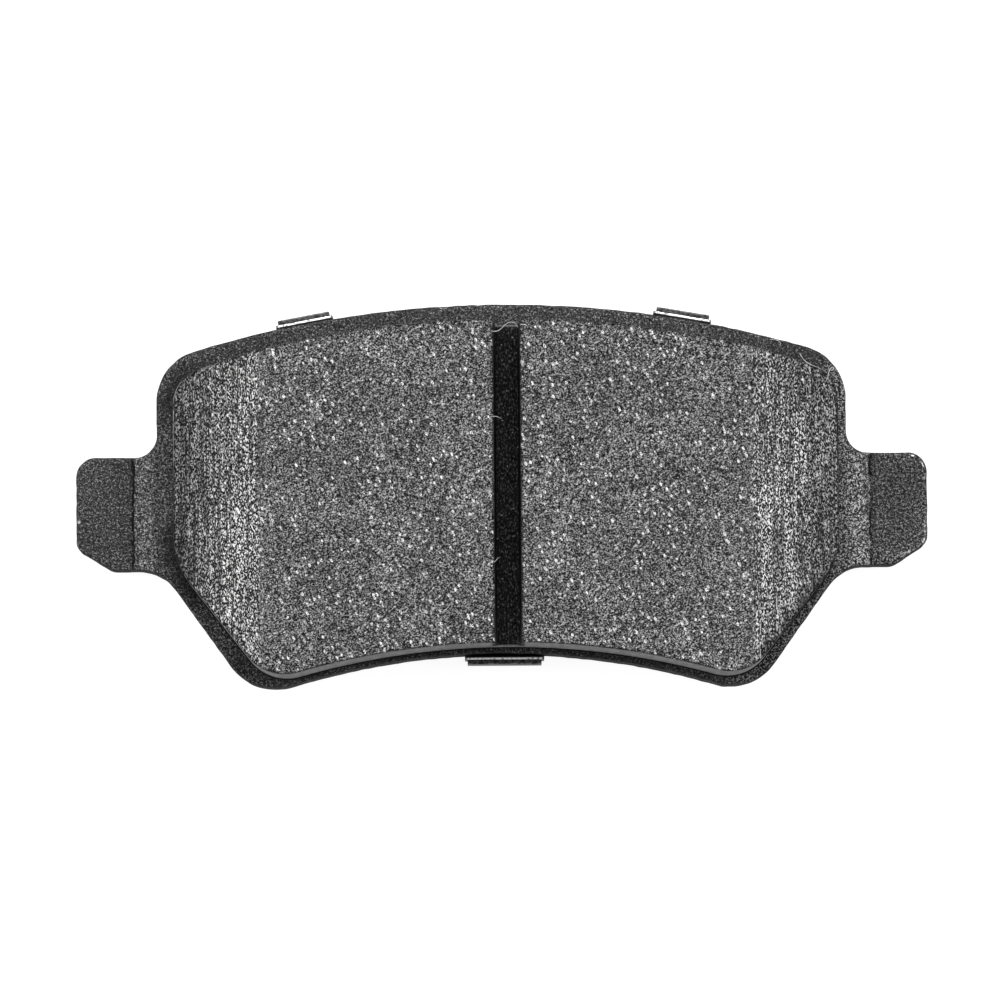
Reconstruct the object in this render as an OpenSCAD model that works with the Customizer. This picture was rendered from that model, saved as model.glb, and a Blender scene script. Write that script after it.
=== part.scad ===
// Disc brake pad: a steel backing plate with a two-block friction lining on its
// front and a laminated noise shim clipped to its back.
//
// The pad lies on its back. +X runs along the pad, +Y towards its outer, convex
// edge and +Z out of the friction face. The origin is under the middle of the
// pad's box, on the outer face of the shim. All sizes are in millimetres.

/* [Backing plate] */
// Length over the two ears
plate_w = 95.5; // [94:0.1:98]
// Height from the lobes to the top of the outer arc
plate_h = 43; // [42:0.05:44]
// Thickness of the plate
plate_t = 5; // [4:0.1:6.5]
// Radius of the outer, convex edge
outer_r = 120; // [110:1:130]
// Width of the body between its straight sides
body_w = 77.4; // [76:0.1:79]
// Radius of the two outer corners
corner_r = 6; // [4:0.5:8]
// Depth of the inner, concave edge below the lobes
hollow_h = 3.735; // [3:0.005:4.5]
// Distance from the middle to each lobe's centre
lobe_x = 25.5; // [24:0.1:27]
// Radius of each lobe
lobe_r = 6.25; // [5.5:0.05:7]
// Angle of the slanted sides from the pad's length
slant_deg = 54.5; // [52:0.5:57]

/* [Ears] */
// Height of each ear's upper edge above the middle of the pad
ear_top_y = 4.575; // [3.5:0.025:5.5]
// Height of each ear
ear_h = 12.7; // [11.5:0.025:13.5]
// Radius of the inside corner above each ear
ear_root_r = 2.4; // [1:0.1:3.5]
// Radius of the inside corner below each ear
ear_under_r = 5; // [3:0.1:6]
// Radius of each ear's upper outer corner
ear_corner_r = 2.2; // [1:0.1:3]
// Length of the slanted cut under each ear's outer end
ear_cut_w = 3.9; // [3:0.1:4.5]
// Angle of that cut from the pad's length
ear_cut_deg = 32; // [25:1:38]
// Radius between the ear's end and that cut
ear_cut_r = 1.5; // [0.5:0.1:2]
// Drop of the coined ear below the plate's face
coin_drop = 0.6; // [0.3:0.05:1]
// Distance from the middle to the foot of the coined ramp
coin_x = 41.3; // [40.5:0.1:42.5]
// Length of the coined ramp
coin_ramp = 2.2; // [1:0.1:3]
// Width of the crease at the foot of the ramp
crease_w = 0.36; // [0.2:0.02:0.6]
// Depth of the crease
crease_d = 0.25; // [0.1:0.05:0.4]

/* [Anchor holes] */
// Diameter of each hole that the underlayer is moulded into
anchor_d = 10; // [6:0.5:12]
// Distance from the middle to each hole
anchor_x = 18; // [15:0.5:22]
// Gap that the moulding leaves around each plug
anchor_gap = 0.05; // [0.02:0.01:0.1]

/* [Friction lining] */
// Height of the friction face above the plate
lining_h = 9.5; // [8:0.1:12]
// Thickness of the bonding film
film_t = 0.1; // [0.05:0.05:0.2]
// Thickness of the underlayer
underlayer_t = 2; // [1.5:0.1:3]
// Width of the lining
lining_w = 74.2; // [72:0.1:75]
// Shift of the lining along the pad
lining_x = 0.5; // [-0.6:0.1:0.6]
// Margin of bare plate along the outer edge
lining_margin = 2.6; // [2.5:0.1:4]
// Radius of the lining's outer corners
lining_corner_r = 4; // [3:0.5:7]
// Radius where the lining's ends turn into its slanted sides
lining_side_r = 9; // [5:0.5:12]
// Distance from the lining's middle to each of its lobe centres
lining_lobe_x = 24.6; // [24:0.1:25]
// Height of those centres, below the middle of the pad
lining_lobe_y = -15.25; // [-15.5:0.05:-15]
// Radius of the lining's lobes
lining_lobe_r = 5.2; // [4.8:0.1:5.3]
// Height of the lining's concave edge at its middle
lining_hollow_y = -17.07; // [-17.2:0.01:-16.8]
// Angle of the lining's slanted sides
lining_slant_deg = 52; // [51:0.5:54]

/* [Slot and lead-in chamfers] */
// Middle of the slot along the pad
slot_x = 0.65; // [-1:0.05:1]
// Width of the slot at the friction face
slot_w = 3; // [2:0.1:4]
// Width of the slot at its floor
slot_floor_w = 2.5; // [1.5:0.1:3]
// Distance from the middle of the lining to each chamfer's edge
chamfer_x = 27.35; // [25:0.05:30]
// Angle of the chamfers below the friction face
chamfer_deg = 27; // [15:1:30]

/* [Noise shim] */
// Thickness of each steel sheet
shim_t = 0.4; // [0.3:0.05:0.6]
// Thickness of the rubber layer between the sheets
damping_t = 0.1; // [0.05:0.05:0.2]
// Thickness of the adhesive against the plate
glue_t = 0.1; // [0.05:0.05:0.2]
// Inset of the shim from the edge of the plate
shim_inset = 1.2; // [0.8:0.1:2]
// Height of each tab's end above the plate's back
tab_h = 3.6; // [2:0.1:4.5]
// Gap between the plate's edge and the tabs
tab_gap = 0.1; // [0.08:0.02:0.2]
// Inside radius of each tab's bend
tab_bend_r = 0.2; // [0.18:0.02:0.3]
// Amount by which the outer sheet's tabs are narrower at each end
tab_step = 0.3; // [0.1:0.1:0.6]

/* [Hidden] */

// Largest sag of a straight step inside an arc, and the longest step in degrees.
arc_sag = 0.012;
arc_step = 12;
// Overlap of a cutting tool past the face that it cuts.
eps = 1;

// Heights of the stack, from the outer face of the shim upwards.
z_damping = shim_t;
z_inner = z_damping + damping_t;
z_glue = z_inner + shim_t;
z_plate = z_glue + glue_t;
z_face = z_plate + plate_t;
z_underlayer = z_face + film_t;
z_block = z_underlayer + underlayer_t;
z_top = z_face + lining_h;

// Heights of the plate's outline above the middle of the pad.
outer_y = plate_h / 2;
lobe_y = lobe_r - plate_h / 2;
hollow_y = hollow_h - plate_h / 2;
ear_bottom_y = ear_top_y - ear_h;

// The three shim tabs: [middle along the pad, width, true on the outer edge].
TABS = [[-22, 6.5, true], [20.4, 6.6, true], [0.2, 8.9, false]];
// How far a tab's flat foot reaches in from the edge of the plate.
tab_foot = 4;

// Points of an arc round c from angle a to angle b, ends included.
function arc(c, r, a, b) =
    let (step = min(arc_step, 2 * acos(1 - arc_sag / r)),
        n = max(1, ceil(abs(b - a) / step)))
    [for (i = [0:n]) c + r * [cos(a + (b - a) * i / n), sin(a + (b - a) * i / n)]];

// The same points in reverse order, mirrored to the other side of the Y axis.
function mirrored(pts) = [for (i = [len(pts) - 1:-1:0]) [-pts[i][0], pts[i][1]]];

// A shape is [outer radius, outer y, half width, corner radius, slant angle,
// lobe x, lobe y, lobe radius, hollow y]; the functions below give its right half.

// Outer arc and corner: the corner is a circle inside the arc and the side.
function outer_half(s) =
    let (centre = [0, s[1] - s[0]],
        cx = s[2] - s[3],
        corner = [cx, centre[1] + sqrt(pow(s[0] - s[3], 2) - cx * cx)],
        turn = atan2(corner[1] - centre[1], cx))
    concat(arc(centre, s[0], 90, turn), arc(corner, s[3], turn, 0));

// Radius of the hollow, a circle that touches both lobes from outside.
function hollow_r(s) =
    let (a = s[6] - s[8])
    (s[5] * s[5] + a * a - s[7] * s[7]) / (2 * (s[7] - a));

// Lobe and hollow of the inner edge.
function inner_half(s) =
    let (r = hollow_r(s),
        centre = [0, s[8] - r],
        turn = atan2(s[6] - centre[1], s[5]))
    concat(arc([s[5], s[6]], s[7], s[4] - 90, turn - 180), arc(centre, r, turn, 90));

// Distance of the slanted side from the origin, along its outward normal.
function slant_reach(s) = sin(s[4]) * s[5] - cos(s[4]) * s[6] + s[7];

// Plain side: a rounded corner between the upright side and the slanted side.
function plain_side(s, r) =
    let (c = slant_reach(s), cx = s[2] - r)
    arc([cx, (sin(s[4]) * cx - c + r) / cos(s[4])], r, 0, s[4] - 90);

// Side with an ear: inside corner, ear, slanted cut and inside corner again.
function eared_side(s) =
    let (end_x = plate_w / 2,
        cut_x = end_x - ear_cut_w,
        // the cut passes through its lower end and rounds off into the ear's end
        n = [sin(ear_cut_deg), -cos(ear_cut_deg)],
        reach = n[0] * cut_x + n[1] * ear_bottom_y,
        rx = end_x - ear_cut_r,
        ry = (reach - ear_cut_r - n[0] * rx) / n[1],
        under_y = ear_bottom_y - ear_under_r,
        under_x = (slant_reach(s) + ear_under_r + cos(s[4]) * under_y) / sin(s[4]))
    concat(
        arc([s[2] + ear_root_r, ear_top_y + ear_root_r], ear_root_r, 180, 270),
        arc([end_x - ear_corner_r, ear_top_y - ear_corner_r], ear_corner_r, 90, 0),
        arc([rx, ry], ear_cut_r, 0, ear_cut_deg - 90),
        [[cut_x, ear_bottom_y]],
        arc([under_x, under_y], ear_under_r, 90, s[4] + 90));

// Both halves of an outline, with each point that repeats the last one left out.
function whole(half) =
    let (pts = concat(half, mirrored(half)), n = len(pts))
    [for (i = [0:n - 1]) if (norm(pts[i] - pts[(i + n - 1) % n]) > 0.001) pts[i]];

plate_shape = [outer_r, outer_y, body_w / 2, corner_r, slant_deg, lobe_x, lobe_y,
    lobe_r, hollow_y];
lining_shape = [outer_r - lining_margin, outer_y - lining_margin, lining_w / 2,
    lining_corner_r, lining_slant_deg, lining_lobe_x, lining_lobe_y, lining_lobe_r,
    lining_hollow_y];
shim_shape = [outer_r - shim_inset, outer_y - shim_inset, body_w / 2 - shim_inset,
    corner_r - shim_inset, slant_deg, lobe_x, lobe_y, lobe_r - shim_inset,
    hollow_y + shim_inset];
// Radius where the shim's upright sides turn into its slanted sides.
shim_side_r = 8;

module plate_outline() {
    polygon(whole(concat(outer_half(plate_shape), eared_side(plate_shape),
        inner_half(plate_shape))));
}

module lining_outline() {
    translate([lining_x, 0])
        polygon(whole(concat(outer_half(lining_shape),
            plain_side(lining_shape, lining_side_r), inner_half(lining_shape))));
}

module shim_outline() {
    polygon(whole(concat(outer_half(shim_shape), plain_side(shim_shape, shim_side_r),
        inner_half(shim_shape))));
}

// Cutter for one coined ear: the ramp, the crease at its foot and the low ear.
module coining() {
    low = z_face - coin_drop;
    half = crease_w / 2;
    end_x = plate_w / 2 + eps;
    top = z_face + eps;
    rotate([90, 0, 0])
        linear_extrude(height = plate_h, center = true)
            polygon([[coin_x - coin_ramp, z_face],
                [coin_x - half, low],
                [coin_x, low - crease_d],
                [coin_x + half, low],
                [end_x, low],
                [end_x, top],
                [coin_x - coin_ramp, top]]);
}

// Cylinders at the two anchor holes.
module anchors(d, z, h) {
    for (side = [-1, 1])
        translate([side * anchor_x, 0, z])
            cylinder(d = d, h = h, $fn = 64);
}

// Steel plate with coined ears and two anchor holes.
module backing_plate() {
    color([0.09, 0.09, 0.095])
        difference() {
            translate([0, 0, z_plate])
                linear_extrude(height = plate_t)
                    plate_outline();
            coining();
            mirror([1, 0, 0])
                coining();
            anchors(anchor_d, z_plate - eps, plate_t + 2 * eps);
        }
}

// Thin film of hot-set bonding adhesive, open over the anchor holes.
module bonding_film() {
    color([0.16, 0.13, 0.1])
        difference() {
            translate([0, 0, z_face])
                linear_extrude(height = film_t)
                    lining_outline();
            anchors(anchor_d, z_face - eps, film_t + 2 * eps);
        }
}

// Moulded underlayer, with a plug that fills each anchor hole.
module underlayer() {
    color([0.12, 0.12, 0.12])
        union() {
            translate([0, 0, z_underlayer])
                linear_extrude(height = underlayer_t)
                    lining_outline();
            anchors(anchor_d - 2 * anchor_gap, z_plate, z_underlayer - z_plate + eps);
        }
}

// Everything past the slot's wall on one side: -1 keeps the left, 1 the right.
module slot_side(side) {
    far = lining_w;
    rotate([90, 0, 0])
        linear_extrude(height = plate_h + eps, center = true)
            polygon([[slot_x + side * slot_floor_w / 2, z_block],
                [slot_x + side * far, z_block],
                [slot_x + side * far, z_top],
                [slot_x + side * slot_w / 2, z_top]]);
}

// Wedge over one end of the lining, down from the chamfer's edge.
module chamfer_wedge(side) {
    run = lining_w / 2 - chamfer_x + eps;
    edge = lining_x + side * chamfer_x;
    rotate([90, 0, 0])
        linear_extrude(height = plate_h + eps, center = true)
            polygon([[edge, z_top],
                [edge + side * run, z_top - run * tan(chamfer_deg)],
                [edge + side * run, z_top + eps],
                [edge, z_top + eps]]);
}

// One friction block: its half of the lining, with a chamfer on its outer end.
module friction_block(side) {
    difference() {
        intersection() {
            translate([0, 0, z_block])
                linear_extrude(height = z_top - z_block)
                    lining_outline();
            slot_side(side);
        }
        chamfer_wedge(side);
    }
}

module friction_block_left() {
    color([0.36, 0.36, 0.36])
        friction_block(-1);
}

module friction_block_right() {
    color([0.38, 0.38, 0.38])
        friction_block(1);
}

// Turns a tab, drawn with its bend towards +X at the origin, to the pad's edge.
// On the outer edge it stands square to the arc. On the inner edge it is level,
// and the two ends of the tab meet the hollow first.
module at_tab(tab) {
    cx = tab[0];
    hollow = hollow_r(plate_shape);
    tab_end = abs(cx) + tab[1] / 2;
    if (tab[2])
        translate([cx, outer_y - outer_r + sqrt(outer_r * outer_r - cx * cx), 0])
            rotate([0, 0, 90 - asin(cx / outer_r)])
                children();
    else
        translate([cx, hollow_y - hollow + sqrt(hollow * hollow - tab_end * tab_end), 0])
            rotate([0, 0, -90])
                children();
}

// Section of a tab of one layer: a flat foot, a quarter bend round a shared
// centre and an upright leg. X is measured outwards from the plate's edge.
function tab_section(z, t, top) =
    let (c = [tab_gap - tab_bend_r, z_glue + tab_bend_r],
        r_out = c[1] - z,
        r_in = r_out - t)
    concat([[-tab_foot, z]], arc(c, r_out, 270, 360), [[c[0] + r_out, top],
        [c[0] + r_in, top]], arc(c, r_in, 360, 270), [[-tab_foot, z + t]]);

// One layer of the shim: the flat sheet with its three bent tabs.
module shim_layer(z, t, step, drop) {
    union() {
        translate([0, 0, z])
            linear_extrude(height = t)
                shim_outline();
        for (tab = TABS)
            at_tab(tab)
                rotate([90, 0, 0])
                    linear_extrude(height = tab[1] - 2 * step, center = true)
                        polygon(tab_section(z, t, z_plate + tab_h - drop));
    }
}

// Pressure-sensitive adhesive that holds the shim to the plate's back.
module shim_adhesive() {
    color([0.3, 0.28, 0.22])
        translate([0, 0, z_glue])
            linear_extrude(height = glue_t)
                shim_outline();
}

module shim_inner_steel() {
    color([0.62, 0.62, 0.62])
        shim_layer(z_inner, shim_t, 0, 0);
}

module shim_damping_layer() {
    color([0.05, 0.05, 0.05])
        shim_layer(z_damping, damping_t, tab_step, 0);
}

module shim_outer_steel() {
    color([0.2, 0.2, 0.2])
        shim_layer(0, shim_t, tab_step, 0.1);
}

backing_plate();
bonding_film();
underlayer();
friction_block_left();
friction_block_right();
shim_adhesive();
shim_inner_steel();
shim_damping_layer();
shim_outer_steel();
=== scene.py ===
"""A disc brake pad on a pale floor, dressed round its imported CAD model.

Shapes are worked out in millimetres and put into Blender in metres. The pad lies
on its back: +X from ear to ear, +Y to its outer edge, +Z out of the friction face.
"""
import math

import bpy
import numpy as np
from mathutils import Matrix, Vector
from mathutils.geometry import delaunay_2d_cdt


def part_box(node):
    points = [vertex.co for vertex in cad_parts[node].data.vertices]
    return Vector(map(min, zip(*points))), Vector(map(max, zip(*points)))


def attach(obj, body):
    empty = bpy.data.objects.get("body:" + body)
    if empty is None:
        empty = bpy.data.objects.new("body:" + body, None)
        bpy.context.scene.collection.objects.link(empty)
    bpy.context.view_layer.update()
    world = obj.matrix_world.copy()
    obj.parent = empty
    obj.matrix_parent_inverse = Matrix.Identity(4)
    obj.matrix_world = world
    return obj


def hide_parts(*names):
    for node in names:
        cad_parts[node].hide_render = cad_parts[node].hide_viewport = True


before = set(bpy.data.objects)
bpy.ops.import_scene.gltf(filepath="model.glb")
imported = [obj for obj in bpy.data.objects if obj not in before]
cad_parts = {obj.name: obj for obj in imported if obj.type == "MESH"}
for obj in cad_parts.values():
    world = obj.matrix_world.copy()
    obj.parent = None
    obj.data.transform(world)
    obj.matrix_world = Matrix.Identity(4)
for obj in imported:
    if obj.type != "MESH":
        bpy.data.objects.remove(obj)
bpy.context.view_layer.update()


# --- Camera -------------------------------------------------------------------
# It stands over the friction face, a little towards the pad's inner edge, so that
# the lining's lower wall just shows.
view_distance = 0.8
view_lean = math.radians(4.4)
view_roll = math.radians(-0.4)
view_width = 0.11205
view_aim = Vector((-0.00019, -0.00056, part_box("backing_plate")[1][2]))

view_back = Vector((0, -math.sin(view_lean), math.cos(view_lean)))
camera_data = bpy.data.cameras.new("camera")
camera_data.sensor_width = 36
camera_data.lens = camera_data.sensor_width * view_distance / view_width
camera_data.clip_start = 0.01
camera_data.clip_end = 20
camera = bpy.data.objects.new("camera", camera_data)
bpy.context.collection.objects.link(camera)
camera.matrix_world = (Matrix.Translation(view_aim + view_back * view_distance)
                       @ view_back.to_track_quat("Z", "Y").to_matrix().to_4x4()
                       @ Matrix.Rotation(view_roll, 4, "Z"))
bpy.context.scene.camera = camera


# --- Backing plate ------------------------------------------------------------
# 5 mm steel, stamped to outline, its two ears coined thinner so that they slide in
# the caliper bracket. The stamping rolls the front edge over, and a black powder
# coat with a fine orange-peel grain covers it all.
def box_mm(node):
    """Lowest and highest corner of a CAD node, in millimetres."""
    return np.array([list(corner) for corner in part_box(node)]) * 1000


def arc(centre, radius, start, end, step=0.05):
    """Points round a centre from one angle to another, in degrees:
    centre + radius (cos a, sin a), about step millimetres apart."""
    count = 2 + int(radius * abs(math.radians(end - start)) / step)
    a = np.radians(np.linspace(start, end, count))
    return np.stack([centre[0] + radius * np.cos(a),
                     centre[1] + radius * np.sin(a)], axis=1)


class Shape:
    """A pad outline: an outer arc, two rounded corners, two slanted sides that end
    in round lobes, and a hollow, which is a circle that touches both lobes."""

    def __init__(self, outer_r, outer_y, half_w, corner_r, slant, lobe, lobe_r, hollow_y):
        self.outer_r, self.outer_y, self.half_w = outer_r, outer_y, half_w
        self.corner_r, self.slant, self.lobe, self.lobe_r = corner_r, slant, lobe, lobe_r
        self.hollow_y = hollow_y
        a = lobe[1] - hollow_y
        self.hollow_r = (lobe[0] ** 2 + a * a - lobe_r ** 2) / (2 * (lobe_r - a))
        self.sin, self.cos = math.sin(math.radians(slant)), math.cos(math.radians(slant))
        # how far the slanted side lies from the origin along its outward normal
        self.reach = self.sin * lobe[0] - self.cos * lobe[1] + lobe_r

    def outer_half(self):
        """Right half of the outer arc, then the corner inside the arc and the side."""
        middle = self.outer_y - self.outer_r
        cx = self.half_w - self.corner_r
        rise = math.sqrt((self.outer_r - self.corner_r) ** 2 - cx * cx)
        turn = math.degrees(math.atan2(rise, cx))
        return np.vstack([arc((0, middle), self.outer_r, 90, turn),
                          arc((cx, middle + rise), self.corner_r, turn, 0)])

    def inner_half(self):
        """Right lobe, then the right half of the hollow."""
        middle = self.hollow_y - self.hollow_r
        turn = math.degrees(math.atan2(self.lobe[1] - middle, self.lobe[0]))
        return np.vstack([arc(self.lobe, self.lobe_r, self.slant - 90, turn - 180),
                          arc((0, middle), self.hollow_r, turn, 90)])

    def plain_side(self, radius):
        """A round turn between the upright side and the slanted side."""
        cx = self.half_w - radius
        cy = (self.sin * cx - self.reach + radius) / self.cos
        return arc((cx, cy), radius, 0, self.slant - 90)

    def plain_half(self, radius):
        """Right half of the outline of a pad without ears."""
        return np.vstack([self.outer_half(), self.plain_side(radius), self.inner_half()])

    def under_fillet(self, under_y, radius):
        """The inside corner between an ear's lower edge and the slanted side."""
        cy = under_y - radius
        cx = (self.reach + radius + self.cos * cy) / self.sin
        return arc((cx, cy), radius, 90, self.slant + 90)

    def hollow_at(self, x):
        """Height of the hollow at one place along the pad."""
        return self.hollow_y - self.hollow_r + math.sqrt(self.hollow_r ** 2 - x * x)


def whole(half):
    """Closed loop, counter-clockwise, from its right half, top to bottom."""
    left = half[::-1] * [-1, 1]
    loop = np.vstack([half, left])[::-1]
    step = np.linalg.norm(loop - np.roll(loop, 1, axis=0), axis=1)
    return loop[step > 1e-4]


def spaced(path, step, closed=True):
    """Points evenly spaced along a loop, or along an open path to its very end."""
    if closed:
        path = np.vstack([path, path[:1]])
    run = np.concatenate([[0], np.cumsum(np.linalg.norm(np.diff(path, axis=0), axis=1))])
    at = np.linspace(0, run[-1], int(run[-1] / step), endpoint=not closed)
    return np.stack([np.interp(at, run, path[:, 0]), np.interp(at, run, path[:, 1])], axis=1)


def inward(loop):
    """Unit normals of a counter-clockwise loop, pointing into it."""
    along = np.roll(loop, -1, axis=0) - np.roll(loop, 1, axis=0)
    along /= np.linalg.norm(along, axis=1)[:, None]
    return np.stack([-along[:, 1], along[:, 0]], axis=1)


def sliced(points):
    """The points in slices short enough to be compared with a whole loop at once."""
    return np.array_split(points, max(1, len(points) // 4000))


def nearest(points, loop):
    """Distance from each point to the nearest of a loop's own points."""
    return np.concatenate([
        np.sqrt(((part[:, None, :] - loop[None, :, :]) ** 2).sum(axis=2).min(axis=1))
        for part in sliced(points)])


def distance(points, loop):
    """Distance to a loop: roughly at first, from every eighth of its points, and
    then exactly where that is under 1.5 mm."""
    found = nearest(points, loop[::8])
    near = found < 1.5
    found[near] = nearest(points[near], loop)
    return found


def inside(points, loop):
    """True where a ray along +X from a point crosses the loop an odd number of
    times."""
    after = np.roll(loop, -1, axis=0)
    lean = (after[:, 0] - loop[:, 0]) / (after[:, 1] - loop[:, 1] + 1e-12)
    found = []
    for part in sliced(points):
        x, y = part[:, :1], part[:, 1:]
        spans = (loop[:, 1] > y) != (after[:, 1] > y)
        ahead = x < loop[:, 0] + (y - loop[:, 1]) * lean
        found.append((spans & ahead).sum(axis=1) % 2 == 1)
    return np.concatenate(found)


def lattice(loop, step, margin):
    """Points of a triangular lattice inside a loop, more than a margin from it."""
    low, high = loop.min(axis=0), loop.max(axis=0)
    ys = np.arange(low[1], high[1], step * math.sqrt(3) / 2)
    xs = np.arange(low[0], high[0], step)
    grid_x, grid_y = np.meshgrid(xs, ys)
    grid_x = grid_x + (np.arange(len(ys)) % 2)[:, None] * step / 2
    points = np.stack([grid_x.ravel(), grid_y.ravel()], axis=1)
    points = points[inside(points, spaced(loop, 0.5))]
    return points[distance(points, loop) > margin]


bore_steps = 72


def circle(bore):
    """Points round a bore: centre + radius (cos a, sin a)."""
    a = np.linspace(0, 2 * math.pi, bore_steps, endpoint=False)
    return np.stack([bore[0] + bore[2] * np.cos(a), bore[1] + bore[2] * np.sin(a)], axis=1)


def ring_edges(start, count):
    """Pairs of neighbours along a closed ring of points."""
    at = np.arange(count)
    return np.stack([start + at, start + (at + 1) % count], axis=1)


def stitched(start, count, down):
    """Two triangles under each edge of a ring, where each point of the next ring
    comes so many places down the list."""
    upper, after = ring_edges(start, count).T
    return np.vstack([np.stack([upper, upper + down, after + down], axis=1),
                      np.stack([upper, after + down, after], axis=1)])


def fill(ring, points, bores):
    """Triangles, counter-clockwise, that fill a ring but for its bores. The points
    are each bore's circle, then the rest. What lies outside the ring or in a bore
    has all its corners on them, so only those triangles are tested."""
    count = len(ring)
    both = np.vstack([ring, points])
    edges = np.vstack([ring_edges(0, count)]
                      + [ring_edges(count + i * bore_steps, bore_steps)
                         for i in range(len(bores))])
    made = delaunay_2d_cdt(both.tolist(), edges.tolist(), [], 0, 1e-7, False)
    triangles = np.array([list(face) for face in made[2]])
    tested = (triangles < count + len(bores) * bore_steps).all(axis=1)
    middle = both[triangles[tested]].mean(axis=1)
    kept = inside(middle, ring)
    for x, y, radius in bores:
        kept &= np.hypot(middle[:, 0] - x, middle[:, 1] - y) > radius * 0.999
    return np.vstack([triangles[~tested], triangles[tested][kept]])


def value_noise(x, y, cell, seed):
    """Random heights 0 to 1 on a square lattice, blended by 3t^2 - 2t^3."""
    size = 512
    table = np.random.default_rng(seed).random((size, size))
    i, j = np.floor(x / cell).astype(int), np.floor(y / cell).astype(int)
    tx, ty = x / cell - i, y / cell - j
    tx, ty = tx * tx * (3 - 2 * tx), ty * ty * (3 - 2 * ty)
    low = table[i % size, j % size] * (1 - tx) + table[(i + 1) % size, j % size] * tx
    high = (table[i % size, (j + 1) % size] * (1 - tx)
            + table[(i + 1) % size, (j + 1) % size] * tx)
    return low * (1 - ty) + high * ty


def body(loop, rim, top_at, bottom_at, top_points, bottom_points, bores=()):
    """A closed body over a loop. The rim is a profile carried along the loop: each
    of its rows is (inset, share, lift), at height bottom + share * (top - bottom) +
    lift. Both faces are Delaunay fills whose heights are functions of x and y, and
    bores (x, y, radius) go through both. Returns the points, the triangles and a
    mask that is 1 on the rim."""
    normal = inward(loop)
    rings, heights = [], []
    for inset, share, lift in rim:
        ring = loop + normal * np.broadcast_to(inset, len(loop))[:, None]
        low, high = bottom_at(ring[:, 0], ring[:, 1]), top_at(ring[:, 0], ring[:, 1])
        rings.append(ring)
        heights.append(low + share * (high - low) + lift)
    rounds = [circle(bore) for bore in bores]
    top_points = np.vstack(rounds + [top_points])
    bottom_points = np.vstack(rounds + [bottom_points])
    count, rows = len(loop), len(rim)
    flat = np.vstack(rings + [top_points, bottom_points])
    z = np.concatenate(heights + [top_at(top_points[:, 0], top_points[:, 1]),
                                  bottom_at(bottom_points[:, 0], bottom_points[:, 1])])
    start_top, start_bottom = count * rows, count * rows + len(top_points)

    faces = [stitched(row * count, count, count) for row in range(rows - 1)]
    for i in range(len(bores)):
        faces.append(stitched(start_top + i * bore_steps, bore_steps,
                              start_bottom - start_top)[:, ::-1])
    top = fill(rings[0], top_points, bores)
    faces.append(np.where(top < count, top, top - count + start_top))
    last = (rows - 1) * count
    bottom = fill(rings[-1], bottom_points, bores)[:, ::-1]
    faces.append(np.where(bottom < count, bottom + last, bottom - count + start_bottom))
    on_rim = (np.arange(len(flat)) < start_top).astype(float)
    return np.column_stack([flat, z]), np.vstack(faces), on_rim


def joined(shells):
    """Several closed shells as one set of points, triangles and rim mask."""
    starts = np.cumsum([0] + [len(shell[0]) for shell in shells])
    return (np.vstack([shell[0] for shell in shells]),
            np.vstack([shell[1] + start for shell, start in zip(shells, starts)]),
            np.concatenate([shell[2] for shell in shells]))


def flat_at(height):
    """A level face, as a function of x and y."""
    return lambda x, y: np.full(len(x), float(height))


def mesh_object(name, points, triangles):
    """A smooth-shaded mesh object from points in millimetres and triangles."""
    mesh = bpy.data.meshes.new(name)
    mesh.vertices.add(len(points))
    mesh.vertices.foreach_set("co", (points * 0.001).astype(np.float32).ravel())
    mesh.loops.add(triangles.size)
    mesh.loops.foreach_set("vertex_index", triangles.astype(np.int32).ravel())
    mesh.polygons.add(len(triangles))
    mesh.polygons.foreach_set("loop_start", np.arange(0, triangles.size, 3, dtype=np.int32))
    mesh.polygons.foreach_set("loop_total", np.full(len(triangles), 3, dtype=np.int32))
    mesh.update(calc_edges=True)
    mesh.shade_smooth()
    made = bpy.data.objects.new(name, mesh)
    bpy.context.collection.objects.link(made)
    return made


def paint(made, name, values):
    """Stores one number a vertex, which a material reads by name."""
    layer = made.data.attributes.new(name, "FLOAT", "POINT")
    layer.data.foreach_set("value", np.asarray(values, dtype=np.float32))


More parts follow.
